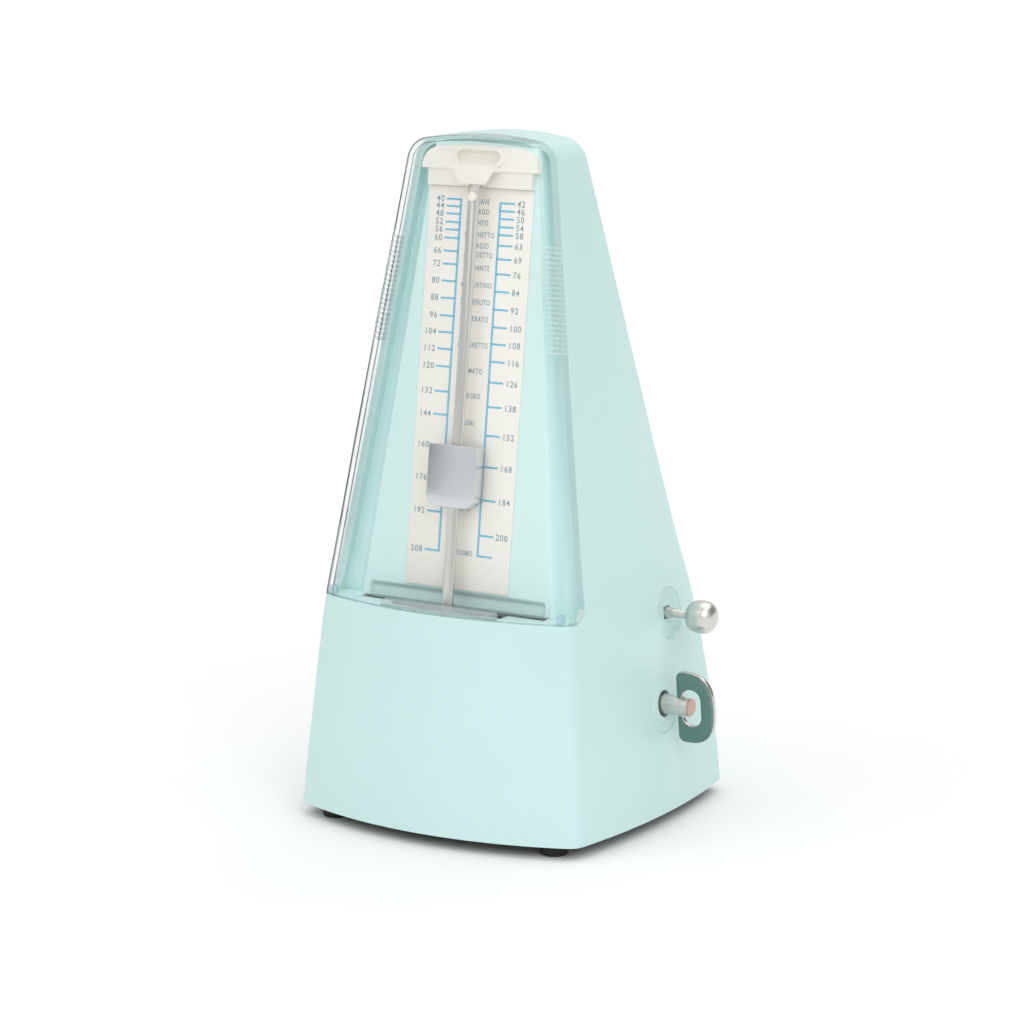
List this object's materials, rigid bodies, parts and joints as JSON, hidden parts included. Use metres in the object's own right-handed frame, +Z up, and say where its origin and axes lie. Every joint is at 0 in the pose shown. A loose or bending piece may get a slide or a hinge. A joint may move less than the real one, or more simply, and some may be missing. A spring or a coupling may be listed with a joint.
{
  "type": "metronome",
  "caption": "Wind-up pendulum metronome: tapered mint case, clear tilting front cover, scale with sliding bob, side winding key and pull-out bell selector.",
  "frame": {"origin": "centre of the four feet, on the table they stand on", "axes": "+Z up, -Y out of the dial side, +X out of the winding key side"},
  "size_m": [0.1244, 0.109, 0.2153],
  "materials": {
    "case_plastic": "satin moulded plastic, pale mint",
    "ivory_plastic": "matt ivory plastic",
    "clear_plastic": "clear moulded plastic",
    "black_plastic": "matt black plastic",
    "foot_rubber": "black rubber",
    "zinc_steel": "zinc-plated steel",
    "chrome_steel": "polished chrome",
    "satin_nickel": "satin nickel",
    "bob_metal": "satin chromed light alloy",
    "brass": "rolled brass",
    "spring_steel": "blued spring steel",
    "iron": "dark cast iron"
  },
  "bodies": {
    "case": {"case_shell": "case_plastic", "dial_panel": "case_plastic", "scale_plate": "ivory_plastic", "rod_holder": "ivory_plastic", "base_plate": "black_plastic", "rubber_feet": "foot_rubber", "base_screws": "zinc_steel", "movement_plate_left": "brass", "movement_plate_right": "brass", "movement_pillars": "brass", "pillar_screws": "zinc_steel", "plate_screws": "zinc_steel", "staff_bracket_front": "zinc_steel", "staff_bracket_rear": "zinc_steel", "bracket_screws": "zinc_steel", "bell": "brass", "bell_post": "zinc_steel", "bell_nut": "zinc_steel", "cam_cock": "brass", "cam_cock_posts": "brass", "click_stud": "zinc_steel", "click_spring": "spring_steel", "detent_spring": "spring_steel"},
    "cover": {"clear_cover": "clear_plastic"},
    "click_lever": {"click": "zinc_steel"},
    "winder": {"winding_arbor": "zinc_steel", "ratchet_wheel": "zinc_steel", "key_stem": "satin_nickel", "key_blade": "chrome_steel", "key_cap": "brass"},
    "barrel": {"barrel_drum": "brass", "barrel_cover": "brass", "great_wheel": "brass", "mainspring": "spring_steel"},
    "second_shaft": {"second_arbor": "zinc_steel", "second_wheel": "brass"},
    "escape_shaft": {"escape_arbor": "zinc_steel", "escape_wheel": "brass"},
    "cam_shaft": {"cam_arbor": "zinc_steel", "cam_stack": "brass"},
    "selector": {"selector_rod": "satin_nickel", "selector_knob": "satin_nickel", "hammer_collars": "brass"},
    "hammer": {"hammer_arm": "zinc_steel", "hammer_head": "brass"},
    "pendulum": {"pendulum_staff": "zinc_steel", "pallets": "zinc_steel", "pendulum_rod": "satin_nickel", "rod_rivet": "ivory_plastic", "counterweight": "iron"},
    "bob_slider": {"bob": "bob_metal", "bob_clip": "brass"}
  },
  "joints": [
    {"name": "cover_tilt", "type": "hinge", "parent": "case", "child": "cover", "pos_m": [0, -0.0496, 0.0713], "axis": [1, 0, 0], "range_deg": [0, 40]},
    {"name": "pendulum_swing", "type": "hinge", "parent": "case", "child": "pendulum", "pos_m": [0, -0.0429, 0.046], "axis": [0, 0.9919, -0.1267], "range_deg": [-6.5, 6.5]},
    {"name": "bob_slide", "type": "slide", "parent": "pendulum", "child": "bob_slider", "axis": [0, 0.1267, 0.9919], "range_m": [-0.034, 0.066]},
    {"name": "key_wind", "type": "hinge", "parent": "case", "child": "winder", "pos_m": [0.05, 0.0055, 0.038], "axis": [1, 0, 0], "range_deg": [0, 3690]},
    {"name": "barrel_spin", "type": "hinge", "parent": "case", "child": "barrel", "pos_m": [0.007, 0.0055, 0.038], "axis": [1, 0, 0], "continuous": true},
    {"name": "second_spin", "type": "hinge", "parent": "case", "child": "second_shaft", "pos_m": [0, -0.01485, 0.05072], "axis": [1, 0, 0], "continuous": true},
    {"name": "escape_spin", "type": "hinge", "parent": "case", "child": "escape_shaft", "pos_m": [0, -0.02224, 0.03042], "axis": [1, 0, 0], "continuous": true},
    {"name": "cam_spin", "type": "hinge", "parent": "case", "child": "cam_shaft", "pos_m": [-0.01, 0.00669, 0.04921], "axis": [1, 0, 0], "continuous": true},
    {"name": "selector_slide", "type": "slide", "parent": "case", "child": "selector", "axis": [1, 0, 0], "range_m": [0, 0.012]},
    {"name": "hammer_swing", "type": "hinge", "parent": "selector", "child": "hammer", "pos_m": [-0.016, 0.0152, 0.0648], "axis": [1, 0, 0], "range_deg": [-8, 4], "stiffness_Nm_per_rad": 0.004},
    {"name": "click_pivot", "type": "hinge", "parent": "case", "child": "click_lever", "pos_m": [0.0159, 0.022, 0.03], "axis": [1, 0, 0], "range_deg": [-8, 2], "stiffness_Nm_per_rad": 0.003}
  ],
  "couplings": [
    {"joint": "second_spin", "follows": "barrel_spin", "ratio": -5},
    {"joint": "escape_spin", "follows": "barrel_spin", "ratio": 25},
    {"joint": "cam_spin", "follows": "barrel_spin", "ratio": 25}
  ]
}
